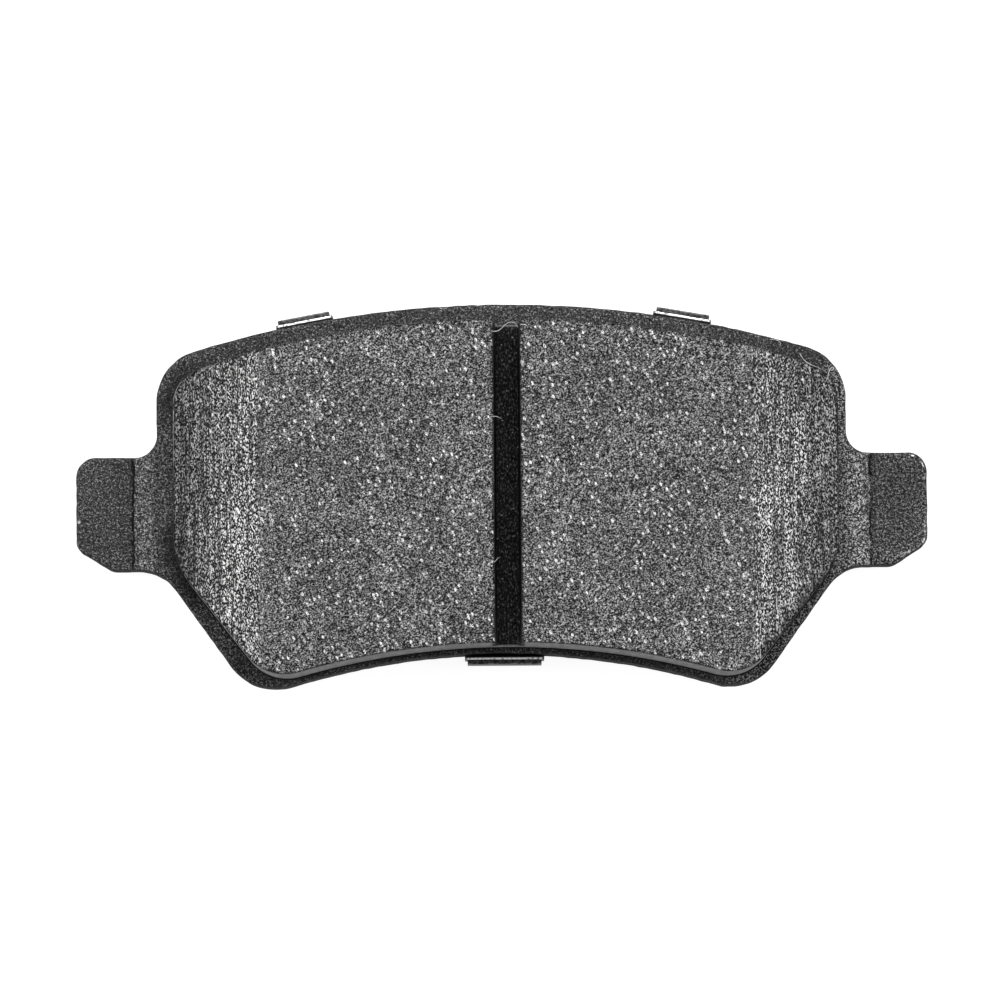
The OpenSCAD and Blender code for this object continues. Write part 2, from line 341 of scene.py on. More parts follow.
class Finish:
    """A node material. Each method adds a node and returns what comes out of it.
    Sizes are in millimetres, and patterns are read from object coordinates."""

    def __init__(self, name, specular, roughness):
        self.made = bpy.data.materials.new(name)
        self.made.use_nodes = True
        self.tree = self.made.node_tree
        self.shader = self.tree.nodes["Principled BSDF"]
        self.feed("Specular IOR Level", specular)
        self.feed("Roughness", roughness)
        self.place = self.tree.nodes.new("ShaderNodeTexCoord").outputs["Object"]
        self.normal = None

    def put(self, socket, value):
        """Links a node's output to a socket, or sets a plain value there."""
        if isinstance(value, bpy.types.NodeSocket):
            self.tree.links.new(value, socket)
        else:
            socket.default_value = value

    def feed(self, name, value):
        """Puts a value into one of the shader's own inputs."""
        self.put(self.shader.inputs[name], value)

    def stretched(self, x, y, z, turn=0):
        """Coordinates that lengthen a pattern along axes turned about Z."""
        node = self.tree.nodes.new("ShaderNodeMapping")
        node.vector_type = "TEXTURE"
        node.inputs["Rotation"].default_value = (0, 0, math.radians(turn))
        node.inputs["Scale"].default_value = (x, y, z)
        self.put(node.inputs["Vector"], self.place)
        return node.outputs["Vector"]

    def grain(self, size, detail=2, place=None):
        """Soft noise, 0 to 1, with lumps of one size."""
        node = self.tree.nodes.new("ShaderNodeTexNoise")
        self.put(node.inputs["Vector"], place or self.place)
        node.inputs["Scale"].default_value = 1000 / size
        node.inputs["Detail"].default_value = detail
        return node.outputs[0]

    def specks(self, size, radius, share, place=None):
        """1 inside round specks of a radius in cells, in a share of the cells."""
        node = self.tree.nodes.new("ShaderNodeTexVoronoi")
        self.put(node.inputs["Vector"], place or self.place)
        node.inputs["Scale"].default_value = 1000 / size
        split = self.tree.nodes.new("ShaderNodeSeparateColor")
        self.put(split.inputs[0], node.outputs["Color"])
        near = self.level(node.outputs["Distance"], radius * 0.75, radius, 1, 0)
        return self.times(near, self.math("LESS_THAN", split.outputs[0], share))

    def level(self, value, low, high, at_low, at_high):
        """Maps low..high to at_low..at_high along 3t^2 - 2t^3."""
        node = self.tree.nodes.new("ShaderNodeMapRange")
        node.interpolation_type = "SMOOTHSTEP"
        for socket, item in zip(node.inputs, (value, low, high, at_low, at_high)):
            self.put(socket, item)
        return node.outputs[0]

    def ramp(self, value, *stops):
        """Greys between (place, grey) stops."""
        node = self.tree.nodes.new("ShaderNodeValToRGB")
        self.put(node.inputs[0], value)
        points = node.color_ramp.elements
        while len(points) < len(stops):
            points.new(0.5)
        for point, (at, grey) in zip(points, stops):
            point.position = at
            point.color = (grey, grey, grey, 1)
        return node.outputs[0]

    def math(self, operation, first, second):
        """One sum on two numbers."""
        node = self.tree.nodes.new("ShaderNodeMath")
        node.operation = operation
        self.put(node.inputs[0], first)
        self.put(node.inputs[1], second)
        return node.outputs[0]

    def times(self, first, second):
        """Their product."""
        return self.math("MULTIPLY", first, second)

    def mix(self, share, first, second):
        """First at share 0, second at share 1."""
        node = self.tree.nodes.new("ShaderNodeMix")
        for index, item in ((0, share), (2, first), (3, second)):
            self.put(node.inputs[index], item)
        return node.outputs[0]

    def mask(self, name):
        """A number that the mesh holds at each vertex."""
        node = self.tree.nodes.new("ShaderNodeAttribute")
        node.attribute_name = name
        return node.outputs["Fac"]

    def bump(self, height, depth):
        """Tilts the surface as if height 0..1 were depth millimetres."""
        node = self.tree.nodes.new("ShaderNodeBump")
        node.inputs["Distance"].default_value = depth / 1000
        self.put(node.inputs["Height"], height)
        if self.normal:
            self.put(node.inputs["Normal"], self.normal)
        self.normal = node.outputs[0]
        self.feed("Normal", self.normal)

    def dress(self, piece, node, slot):
        """Puts the finish on a piece that stands for a CAD node."""
        piece.data.materials.append(self.made)
        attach(piece, "root")
        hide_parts(node)


plate_low, plate_high = box_mm("backing_plate")
end_x, outer_y = plate_high[0], plate_high[1]
plate_bottom, plate_top = plate_low[2], plate_high[2]
plate_shape = Shape(outer_r=120, outer_y=outer_y, half_w=38.7, corner_r=6, slant=54.5,
                    lobe=(25.5, 6.25 - outer_y), lobe_r=6.25, hollow_y=3.735 - outer_y)
ear_top_y, ear_h, ear_root_r, ear_under_r, ear_corner_r = 4.575, 12.7, 2.4, 5, 2.2
ear_cut_w, ear_cut_deg, ear_cut_r, ear_heel_r = 3.9, 32, 1.5, 2
ear_bottom_y = ear_top_y - ear_h


def eared_side():
    """Side of the plate: inside corner, ear with a slanted cut, inside corner."""
    cut = math.radians(ear_cut_deg)
    cut_x = end_x - ear_cut_w
    reach = math.sin(cut) * cut_x - math.cos(cut) * ear_bottom_y
    cx = end_x - ear_cut_r
    cy = (math.sin(cut) * cx - reach + ear_cut_r) / math.cos(cut)
    return np.vstack([
        arc((plate_shape.half_w + ear_root_r, ear_top_y + ear_root_r), ear_root_r, 180, 270),
        arc((end_x - ear_corner_r, ear_top_y - ear_corner_r), ear_corner_r, 90, 0),
        arc((cx, cy), ear_cut_r, 0, ear_cut_deg - 90),
        arc((cut_x - ear_heel_r * math.tan(cut / 2), ear_bottom_y + ear_heel_r),
            ear_heel_r, ear_cut_deg - 90, -90),
        plate_shape.under_fillet(ear_bottom_y, ear_under_r)])


coin_x, coin_ramp, coin_drop = 41.3, 2.2, 0.6
crease_w, crease_d = 0.36, 0.25
coat_grains = ((0.42, 0.030, 11), (0.26, 0.022, 12))  # cell, depth, seed
coat_clearance = 0.016  # keeps the grain's peaks under the CAD face


def smooth(value, start, end):
    """0 before start, 1 after end, and 3t^2 - 2t^3 between them."""
    t = np.clip((value - start) / (end - start), 0, 1)
    return t * t * (3 - 2 * t)


def crease_fade(y):
    """1 along the crease, 0 near the ear's upper and lower edges."""
    return (smooth(y, ear_bottom_y + 0.1, ear_bottom_y + 0.6)
            * (1 - smooth(y, ear_top_y - 0.6, ear_top_y - 0.1)))


def plate_face(x, y):
    """Front of the plate: flat, then a ramp down to each coined ear, with a crease
    at the ramp's foot that fades out before the ear's edges."""
    foot = np.abs(x) - coin_x
    drop = coin_drop * np.clip((foot + coin_ramp) / coin_ramp, 0, 1)
    crease = crease_d * np.exp(-(foot / (crease_w / 2)) ** 2) * crease_fade(y)
    grain = sum(depth * (value_noise(x, y, cell, seed) - 0.5)
                for cell, depth, seed in coat_grains)
    return plate_top - coat_clearance - drop - crease + grain


# the stamped edge is rolled over at the front and a little lumpy
roll_w, plate_step, lump_w, lump_length = 0.28, 0.16, 0.07, 0.8
eared_half = np.vstack([plate_shape.outer_half(), eared_side(), plate_shape.inner_half()])
plate_loop = spaced(whole(eared_half), plate_step)
run = np.arange(len(plate_loop)) * plate_step
lumps = lump_w * value_noise(run, 0 * run, lump_length, 61)
plate_loop = plate_loop + inward(plate_loop) * lumps[:, None]

lining_x, lining_margin, lining_side_r = 0.5, 2.6, 9
lining_shape = Shape(outer_r=plate_shape.outer_r - lining_margin,
                     outer_y=outer_y - lining_margin, half_w=37.1, corner_r=4,
                     slant=52, lobe=(24.6, -15.25), lobe_r=5.2, hollow_y=-17.07)
lining_loop = whole(lining_shape.plain_half(lining_side_r)) + [lining_x, 0]

anchor_bores = [(-18, 0, 5), (18, 0, 5)]


def clear_of(points, bores, gap):
    """The points that keep a gap from every bore."""
    for x, y, radius in bores:
        points = points[np.hypot(points[:, 0] - x, points[:, 1] - y) > radius + gap]
    return points


fine_step, fine_gap, coarse_step, overlap = 0.17, 0.09, 2.0, 0.8


def plate_points():
    """Fine lattice where the front of the plate shows and a little way in under the
    lining, and a coarse one under the rest of it."""
    fine = lattice(plate_loop + inward(plate_loop) * roll_w, fine_step, fine_gap)
    cover = spaced(lining_loop, 0.3)
    under = inside(fine, cover)
    fine = fine[~(under & (distance(fine, cover) > overlap))]
    coarse = lattice(cover, coarse_step, overlap + 1)
    return np.vstack([fine, clear_of(coarse, anchor_bores, 0.5)])


spot_x, spot_y = -47.4, -2.7


def chipped(points):
    """1 where handling has knocked the coat off: in patches along the rolled edge
    of the right ear's upper corner and slanted cut, and in a spot on the left ear."""
    x, y = points[:, 0], points[:, 1]
    edge = 1 - smooth(np.abs(distance(points[:, :2], plate_loop) - roll_w), 0.03, 0.1)
    patch = smooth(value_noise(x, y, 0.27, 71), 0.5, 0.75)
    handled = smooth(y, 0.5, 2.5) + smooth(-y, 2.5, 4)
    spot = 1 - smooth(np.hypot(x - spot_x, y - spot_y), 0.08, 0.18)
    return np.maximum(edge * patch * handled * smooth(x, 44.2, 45.6), spot)


def powder_coat():
    """Black baked coat: orange peel on the faces, painted with shade in its hollows and
    highlight on its crests; drawn streaks on the stamped edge, painted darker there as
    shade; gritty beside the lining; painted lighter on the ramps as light from the
    sides; painted darker in the lee of the lining as shade; painted black in the
    creases as shade; and bare steel where it is chipped."""
    coat = Finish("black_powder_coat", specular=0.12, roughness=0.5)
    peel = coat.grain(0.30, 1.5)
    worms = coat.grain(0.145, 1.0)
    streaks = coat.grain(0.30, 3, coat.stretched(1, 1, 7))
    rim, chip = coat.mask("rim"), coat.mask("chip")
    # the coat's tone follows the same noise as its bumps: painted shade in the hollows of the
    # peel and painted highlight on its crests
    both = coat.math("ADD", coat.times(peel, 0.4), coat.times(worms, 0.6))
    peel_tone_and_painted_light = coat.ramp(both, (0.36, 0.0), (0.44, 0.013), (0.475, 0.026), (0.54, 0.035),
                      (0.60, 0.10), (0.66, 0.24))
    grit_tone_and_painted_light = coat.ramp(both, (0.40, 0.0), (0.46, 0.012), (0.52, 0.05), (0.60, 0.28))
    tone = coat.mix(coat.mask("grit"), peel_tone_and_painted_light, grit_tone_and_painted_light)
    tone = coat.times(tone, coat.level(coat.grain(6, 3), 0.3, 0.7, 0.8, 1.2))
    # painted shade: darker in the lee of the lining
    tone = coat.times(tone, coat.mix(coat.mask("painted_lee_shade"), 1.0, 0.25))
    # painted light: the ramps are painted lighter, as if lit from the sides
    tone = coat.times(tone, coat.mix(coat.mask("ramp"), 1.0, 1.5))
    tone = coat.times(tone, coat.level(coat.mask("foot"), -0.1, 0.1, 1, 0.82))
    # painted shade: a wavering black line along the foot of each ramp, where the crease is
    wander = coat.level(coat.grain(0.7, 2), 0.3, 0.7, -0.1, 0.1)
    from_line = coat.math("ABSOLUTE", coat.math("ADD", coat.mask("foot"), wander), 0)
    painted_crease_shade = coat.times(coat.level(from_line, 0.08, 0.17, 1, 0), coat.mask("crease"))
    tone = coat.mix(painted_crease_shade, tone, 0.0)
    tone = coat.mix(coat.times(coat.specks(1.1, 0.1, 0.3), 0.7), tone, 0.25)
    # painted shade: the stamped edge is painted much darker than the faces, standing in for
    # shade on its wall
    edge = coat.ramp(streaks, (0.35, 0.001), (0.65, 0.018))
    shine = coat.level(both, 0.35, 0.65, 0.65, 0.42)
    coat.feed("Base Color", coat.mix(chip, coat.mix(rim, tone, edge), 0.6))
    coat.feed("Metallic", chip)
    coat.feed("Roughness", coat.mix(chip, coat.mix(rim, shine, 0.85), 0.3))
    coat.bump(coat.mix(rim, peel, streaks), 0.07)
    coat.bump(worms, 0.05)
    return coat


plate_rim = [(roll_w, 1, 0), (0.19, 1, -0.015), (0.11, 1, -0.05), (0.05, 1, -0.10),
             (0.01, 1, -0.18), (0, 1, -0.30), (0.01, 0.75, 0), (0.03, 0.5, 0),
             (0.03, 0.25, 0), (0, 0, 0.16), (0.05, 0, 0.05), (0.16, 0, 0)]
points, triangles, on_rim = body(plate_loop, plate_rim, plate_face, flat_at(plate_bottom),
                                 plate_points(), np.zeros((0, 2)), anchor_bores)
plate = mesh_object("stamped_backing_plate", points, triangles)
x, y, z = points.T
foot = np.abs(x) - coin_x
below = plate_face(x, y) - z
paint(plate, "rim", on_rim * smooth(below, 0.02, 0.16))
paint(plate, "foot", foot)
paint(plate, "chip", chipped(points) * (below < 0.4))
# mask for the painted light on the ramps down to the coined ears
paint(plate, "ramp", smooth(foot, -coin_ramp - 0.5, -coin_ramp + 0.5) * (foot < 0.05))
# gritty round the ears and along the slanted sides, most of all on the right
beside = smooth(np.abs(x), 36, 38) * (1 - 0.5 * smooth(foot, -1.4, -0.3))
slanted = smooth(np.abs(x), 24, 28) * smooth(-y, 4, 7)
paint(plate, "grit", np.maximum(beside, slanted) * np.where(x < 0, 0.35, 1))
# painted shade in the lee of the lining, except on the right and along the outer edge
lee_shade = (1 - smooth(distance(points[:, :2], lining_loop), 0.3, 3.5)) * (1 - smooth(y, 13, 18))
leftward = smooth(-x, 25, 36) - smooth(x, 25, 36)
paint(plate, "painted_lee_shade", lee_shade * np.clip(0.3 + 0.7 * leftward, 0, 1))
# painted shade along the crease: whole on the left ear and broken on the right one
broken = smooth(value_noise(0 * x, y, 1.4, 81), 0.35, 0.6)
paint(plate, "crease", crease_fade(y) * np.where(x < 0, 1, broken))
powder_coat().dress(plate, "backing_plate", "powder_coated_steel")


# --- Bonding film -------------------------------------------------------------
# Adhesive that is cured hot between the plate and the lining. A little of it is
# squeezed out as a thin black bead round the lining's foot.
film_low, film_high = box_mm("bonding_film")


def film_finish():
    """Cured adhesive, black with a dull shine."""
    film = Finish("cured_bonding_adhesive", specular=0.12, roughness=0.7)
    film.feed("Base Color", film.ramp(film.grain(0.5), (0.35, 0.001), (0.65, 0.006)))
    film.bump(film.grain(0.4, 1), 0.02)
    return film


film_loop = spaced(lining_loop, 0.25)
film_rim = [(0.4, 1, 0), (0.01, 1, 0.06), (-0.07, 1, 0.05), (-0.12, 1, 0), (-0.14, 0, 0.0)]
few_points = clear_of(lattice(film_loop, 4, 1.2), anchor_bores, 0.5)
points, triangles, _ = body(film_loop, film_rim, flat_at(film_high[2]),
                            flat_at(film_low[2]), few_points, few_points, anchor_bores)
film = mesh_object("bonding_film_bead", points, triangles)
film_finish().dress(film, "bonding_film", "bonding_adhesive")


# --- Underlayer ---------------------------------------------------------------
# A denser, insulating compound moulded under the friction blocks. It makes the
# floor of the slot, its wall has the smooth grey skin of the mould, and it fills
# the plate's two anchor holes.
layer_low, layer_high = box_mm("underlayer")
layer_bottom, layer_top = film_high[2], layer_high[2]
slot_x, slot_w, slot_floor_w = 0.65, 3.0, 2.5


def skin_tone(finish):
    """Grey of a moulded skin: faint clouds, press marks that run with the height
    and a few dark pinholes."""
    cloud = finish.ramp(finish.grain(2.2, 4), (0.3, 0.115), (0.7, 0.155))
    marks = finish.level(finish.grain(0.5, 2, finish.stretched(1, 1, 14)), 0.3, 0.7, 0.85, 1.15)
    cloud = finish.times(cloud, marks)
    return finish.mix(finish.specks(0.9, 0.12, 0.35), cloud, 0.03)


def underlayer_finish():
    """Grey skin on the wall, dark and drawn along the slot on the floor."""
    layer = Finish("moulded_underlayer", specular=0.08, roughness=0.75)
    floor = layer.ramp(layer.grain(0.18, 1.5, layer.stretched(1, 1.7, 1)),
                       (0.37, 0.0), (0.46, 0.007), (0.57, 0.012), (0.66, 0.06))
    floor = layer.mix(layer.specks(0.6, 0.16, 0.3), floor, 0.2)
    layer.feed("Base Color", layer.mix(layer.mask("rim"), floor, skin_tone(layer)))
    layer.bump(layer.grain(0.3, 2), 0.03)
    return layer


def slot_floor(x, y):
    """Top of the underlayer, a little rough where it is the floor of the slot."""
    near = 1 - smooth(np.abs(x - slot_x), slot_floor_w / 2 - 0.1, slot_floor_w / 2)
    rough = 0.05 * value_noise(x, y * 0.4, 0.3, 21) + 0.03 * value_noise(x, y, 0.2, 22)
    return layer_top - near * rough


layer_loop = spaced(lining_loop, 0.2)
layer_rim = [(0.05, 1, 0), (0, 1, -0.02), (0, 0.6, 0), (0, 0.2, 0), (0, 0, 0.02),
             (0.05, 0, 0)]
slot_points = lattice(layer_loop, 0.18, 0.2)
slot_points = slot_points[np.abs(slot_points[:, 0] - slot_x) < slot_floor_w / 2 + 0.2]
wide_points = few_points[np.abs(few_points[:, 0] - slot_x) > slot_floor_w]
shells = [body(layer_loop, layer_rim, slot_floor, flat_at(layer_bottom),
               np.vstack([slot_points, wide_points]), few_points)]
# each plug is a little narrower than its hole and reaches up into the layer
plug_gap, plug_rim = 0.05, [(0.3, 1, 0), (0, 1, 0), (0, 0, 0.3), (0.3, 0, 0)]
for x, y, radius in anchor_bores:
    plug = circle((x, y, radius - plug_gap))
    shells.append(body(plug, plug_rim, flat_at(layer_bottom + plug_gap),
                       flat_at(layer_low[2]), np.array([[x, y]]), np.array([[x, y]])))
points, triangles, on_rim = joined(shells)
layer = mesh_object("moulded_underlayer", points, triangles)
paint(layer, "rim", on_rim * (points[:, 2] > layer_bottom - 0.1))
underlayer_finish().dress(layer, "underlayer", "underlayer_compound")


# --- Friction blocks ----------------------------------------------------------
# Two blocks of friction compound: mineral grains, graphite, brass and steel fibre
# pressed in resin. The faces are ground flat, so the grains show, and the outer
# ends are ground down to lead-in chamfers; the side walls keep the mould's skin.
block_low, block_high = box_mm("friction_block_left")
block_bottom, block_top = block_low[2], block_high[2]
chamfer_x, chamfer_deg = 27.35, 27
block_step = 0.17


def pits(x, y, cell, share, seed):
    """Round pits, at most one a cell: 1 at the middle of a pit and 0 outside it,
    1 - (gap / radius)^2, where centre and radius are random for each cell."""
    size = 512
    tables = np.random.default_rng(seed).random((4, size, size))
    i, j = np.floor(x / cell).astype(int), np.floor(y / cell).astype(int)
    deep = np.zeros(len(x))
    for di in (-1, 0, 1):
        for dj in (-1, 0, 1):
            jx, jy, wide, chance = tables[:, (i + di) % size, (j + dj) % size]
            gap = np.hypot(x / cell - i - di - jx, y / cell - j - dj - jy)
            radius = 0.12 + 0.3 * wide
            pit = np.clip(1 - (gap / radius) ** 2, 0, 1) * (chance < share)
            deep = np.maximum(deep, pit)
    return deep


def past_chamfer(x):
    """Distance beyond the foot line of the nearer lead-in chamfer."""
    return np.abs(x - lining_x) - chamfer_x


def large_pits(x, y):
    """Pits where a whole grain has been torn out of the face."""
    return pits(x, y, 0.8, 0.55, 35)


def block_face(x, y):
    """Ground face: level, then sloping at the chamfers, less the pits and grain.
    On the chamfers the grain is drawn out along the grinding, which runs with Y."""
    slope = np.clip(past_chamfer(x), 0, None) * math.tan(math.radians(chamfer_deg))
    ground = smooth(past_chamfer(x), -0.1, 0.3)
    grain = 0.035 * value_noise(x, y, 0.34, 31) + 0.03 * value_noise(x, y, 0.2, 32)
    drawn = 0.06 * value_noise(x, y * 0.35, 0.3, 33) + 0.03 * value_noise(x, y, 0.2, 34)
    torn = 0.09 * large_pits(x, y) + 0.05 * pits(x, y, 0.45, 0.4, 36)
    return block_top - slope - grain * (1 - ground) - drawn * ground - torn


def block_loop(side, wall_x):
    """The lining's loop cut along one wall of the slot, counter-clockwise."""
    fine = spaced(lining_loop, 0.05)
    kept = (fine[:, 0] - wall_x) * side > 0
    start = np.flatnonzero(kept & ~np.roll(kept, 1))[0]
    run = np.roll(fine, -start, axis=0)[:kept.sum()]
    wall = [[wall_x, run[-1, 1]], [wall_x, run[0, 1]]]
    return spaced(np.vstack([run, wall]), block_step)


def crumbled(loop, seed):
    """Inset of the face's broken edge along the loop: mostly a few hundredths of a
    millimetre, in a few places a chip up to 0.25 mm."""
    run = np.arange(len(loop)) * block_step
    small = value_noise(run, 0 * run, 0.35, seed)
    large = value_noise(run, 0 * run, 1.3, seed + 1)
    return 0.01 + 0.05 * small + 0.5 * np.clip(small - 0.6, 0, 1) * smooth(large, 0.5, 0.9)


def compound_finish():
    """Ground compound: grey resin with dark and pale grains, bright flecks and
    short fibres, coarser and drawn along Y on the chamfers."""
    mass = Finish("friction_compound", specular=0.1, roughness=0.8)
    chamfer, end = mass.mask("chamfer"), mass.mask("end")
    fine = mass.grain(0.16, 1.0)
    drawn = mass.grain(0.145, 1.0, mass.stretched(1, 1.8, 1))
    grains = mass.mix(chamfer, fine, drawn)
    flat = mass.ramp(fine, (0.36, 0.0), (0.44, 0.018), (0.485, 0.070), (0.565, 0.092),
                     (0.645, 0.27))
    slope = mass.ramp(drawn, (0.40, 0.0), (0.485, 0.003), (0.525, 0.04), (0.59, 0.43))
    streaks = mass.grain(0.30, 1.0, mass.stretched(1, 40, 1))
    slope = mass.times(slope, mass.level(streaks, 0.35, 0.65, 0.45, 1.55))
    tone = mass.mix(chamfer, flat, slope)
    tone = mass.times(tone, mass.level(mass.grain(7, 2), 0.3, 0.7, 0.85, 1.15))
    tone = mass.mix(mass.times(mass.specks(0.62, 0.3, 0.35), 0.8), tone, 0.012)
    ragged = mass.level(mass.grain(0.12, 1.0), 0.42, 0.52, 0, 1)
    for size, radius, share, grey, place in (
            (0.50, 0.33, 0.30, 0.75, mass.stretched(1, 1.6, 1, 25)),
            (0.38, 0.33, 0.30, 0.5, mass.stretched(1, 1.5, 1, -60)),
            (0.42, 0.15, 0.34, 0.5, mass.stretched(1, 6, 1, -40)),
            (0.42, 0.15, 0.34, 0.5, mass.stretched(1, 5, 1, 70))):
        fleck = mass.times(mass.specks(size, radius, share, place), ragged)
        tone = mass.mix(mass.times(fleck, 0.9), tone, grey)
    tone = mass.times(tone, mass.mix(end, 1.0, 0.4))
    # painted shade: darker in the torn-out pits and along the face's broken edge
    tone = mass.times(tone, mass.mix(mass.mask("pit"), 1.0, 0.3))
    tone = mass.mix(mass.mask("skin"), tone, skin_tone(mass))
    # painted shade: the slot's walls near black; the same mask darkens the wall round the pad's
    # right end
    tone = mass.mix(mass.mask("slot"), tone, 0.012)
    # painted highlight along the face's upper left edge
    tone = mass.mix(mass.mask("edge"), tone, 0.4)
    mass.feed("Base Color", tone)
    rough = mass.math("SUBTRACT", 1.0, mass.mask("skin"))
    mass.bump(mass.times(grains, rough), 0.11)
    return mass


friction = compound_finish()
for side, name, seed in ((-1, "left", 41), (1, "right", 51)):
    wall_x = slot_x + side * slot_w / 2
    loop = block_loop(side, wall_x)
    chip = crumbled(loop, seed)
    face_inset = chip + 0.04
    rim = [(face_inset, 1, 0), (chip * 0.6, 1, -0.04 - 0.3 * chip),
           (0, 1, -0.10 - 0.8 * chip), (0, 0.8, -0.2), (0, 0.55, 0), (0, 0.3, 0),
           (0, 0, 0.01)]
    grid = lattice(loop + inward(loop) * face_inset[:, None], block_step, 0.1)
    grid = grid + np.random.default_rng(seed).uniform(-0.03, 0.03, grid.shape)
    points, triangles, on_rim = body(loop, rim, block_face, flat_at(block_bottom),
                                     grid, lattice(loop, 4, 1.2))

    # the slot narrows towards its floor, so its wall leans out with depth
    depth = (block_top - points[:, 2]) / (block_top - block_bottom)
    beside = 1 - smooth(np.abs(points[:, 0] - wall_x), 0, 3)
    points[:, 0] -= side * (slot_w - slot_floor_w) / 2 * depth * beside

    block = mesh_object("ground_block_" + name, points, triangles)
    x, y = points[:, 0], points[:, 1]
    row = np.arange(len(points)) // len(loop)
    on_wall = on_rim * (row >= 2)
    in_slot = on_rim * (np.abs(x - wall_x) < 0.3)
    along = past_chamfer(x)
    paint(block, "chamfer", smooth(along, -0.6, 0.4) * 0.85)
    # painted shade in the large pits and on the face's broken edge ring
    paint(block, "pit", np.maximum(on_rim * (1 - on_wall), large_pits(x, y)))
    # the skin is rubbed off the wall round the pad's right end
    rubbed = smooth(x, 28.5, 30.5)
    paint(block, "skin", on_wall * (1 - in_slot) * (1 - rubbed))
    # painted shade on the slot's walls; the same mask darkens the rubbed wall round the right
    # end
    paint(block, "slot", np.maximum(in_slot, 0.8 * rubbed) * on_wall)
    verge = 1 - smooth(distance(points[:, :2], loop), 0.2, 2)
    verge = verge * smooth(x, 26, 30) * smooth(-y, 5, 8)
    paint(block, "end", np.maximum(smooth(along, 3, 9.5) * (1 if side < 0 else 0.75), verge))
    # painted highlight: the face's upper left edge is painted pale where it catches the light
    bright = smooth(value_noise(x, y, 0.8, seed + 2), 0.25, 0.5)
    paint(block, "edge", bright * smooth(-x, 32, 34) * smooth(y, 0, 10) * (row == 1))
    friction.dress(block, "friction_block_" + name, "friction_compound")


# --- Loose fibres -------------------------------------------------------------
# Ends of the compound's steel and mineral fibres that the grinding has pulled out
# of the faces: fine pale hairs, most of them at the slot's outer mouth and at the
# right block's upper corner.
fibre_r = 0.035


def fibre(knots):
    """A round hair along the smooth curve whose Bernstein knots are given: at t the
    point is the sum of C(n, k) t^k (1 - t)^(n - k) knot k."""
    knots, sides, steps = np.array(knots, dtype=float), 6, 24
    n = len(knots) - 1
    t = np.linspace(0, 1, steps)[:, None]
    path = sum(math.comb(n, k) * t ** k * (1 - t) ** (n - k) * knots[k]
               for k in range(n + 1))
    along = np.gradient(path, axis=0)
    along /= np.linalg.norm(along, axis=1)[:, None]
    across = np.cross(along, [0, 0, 1])
    across /= np.linalg.norm(across, axis=1)[:, None]
    over = np.cross(across, along)
    a = np.linspace(0, 2 * math.pi, sides, endpoint=False)[None, :, None]
    taper = fibre_r * (1 - 0.6 * t[:, :, None] ** 2)
    skin = path[:, None] + taper * (np.cos(a) * across[:, None] + np.sin(a) * over[:, None])
    points = np.vstack([skin.reshape(-1, 3), path[:1], path[-1:]])
    faces = [stitched(row * sides, sides, sides) for row in range(steps - 1)]
    here, after = ring_edges(0, sides).T
    tail, tip = len(points) - 2, len(points) - 1
    last = (steps - 1) * sides
    faces.append(np.stack([np.full(sides, tail), here, after], axis=1))
    faces.append(np.stack([np.full(sides, tip), after + last, here + last], axis=1))
    return points, np.vstack(faces), np.ones(len(points))


def fibre_finish():
    """Bright fibre, a little uneven along its length."""
    hair = Finish("pulled_fibre", specular=0.5, roughness=0.4)
    hair.feed("Base Color", hair.ramp(hair.grain(0.5), (0.3, 0.25), (0.7, 0.6)))
    return hair


top = block_top - 0.06
hairs = [
    [(-0.9, 17.5, top), (0.5, 17.3, top - 0.4), (0.2, 19.0, top - 0.2), (1.7, 18.8, top),
     (1.9, 17.9, top)],
    [(-3.2, 17.9, top), (-3.0, 18.8, top), (-1.9, 18.8, top), (-1.7, 18.0, top)],
    [(2.2, 18.2, top), (2.7, 18.4, top), (3.3, 17.8, top)],
    [(-0.9, 8.0, top), (-0.4, 8.1, top - 0.1), (0.0, 7.8, top - 0.5)],
    [(-1.1, -8.4, top), (-0.7, -8.0, top - 0.1), (-0.35, -7.6, top - 0.4)],
    [(8.4, 10.3, top), (8.9, 9.8, top), (9.0, 9.0, top)],
    [(7.2, -3.4, top), (7.0, -3.9, top), (6.6, -4.4, top)],
    [(-13.4, 6.1, top), (-13.0, 6.4, top), (-12.4, 6.3, top)],
    [(-6.9, 21.2, plate_top), (-6.4, 20.8, plate_top + 0.05), (-5.9, 21.2, plate_top)],
    [(30.2, 17.3, plate_top), (31.3, 17.4, plate_top + 0.3), (31.7, 16.7, plate_top + 0.2),
     (31.2, 16.4, plate_top)],
    [(33.3, 15.0, 12.9), (34.0, 13.5, 12.6), (35.2, 13.9, 12.0), (36.3, 13.0, 11.5)],
    [(36.4, 12.3, 11.5), (36.6, 14.5, 11.4), (38.0, 13.8, 11.3), (36.6, 12.3, 11.4),
     (36.4, 14.0, 11.4)]]
points, triangles, _ = joined([fibre(knots) for knots in hairs])
fibres = mesh_object("loose_fibres", points, triangles)
fibres.data.materials.append(fibre_finish().made)
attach(fibres, "root")


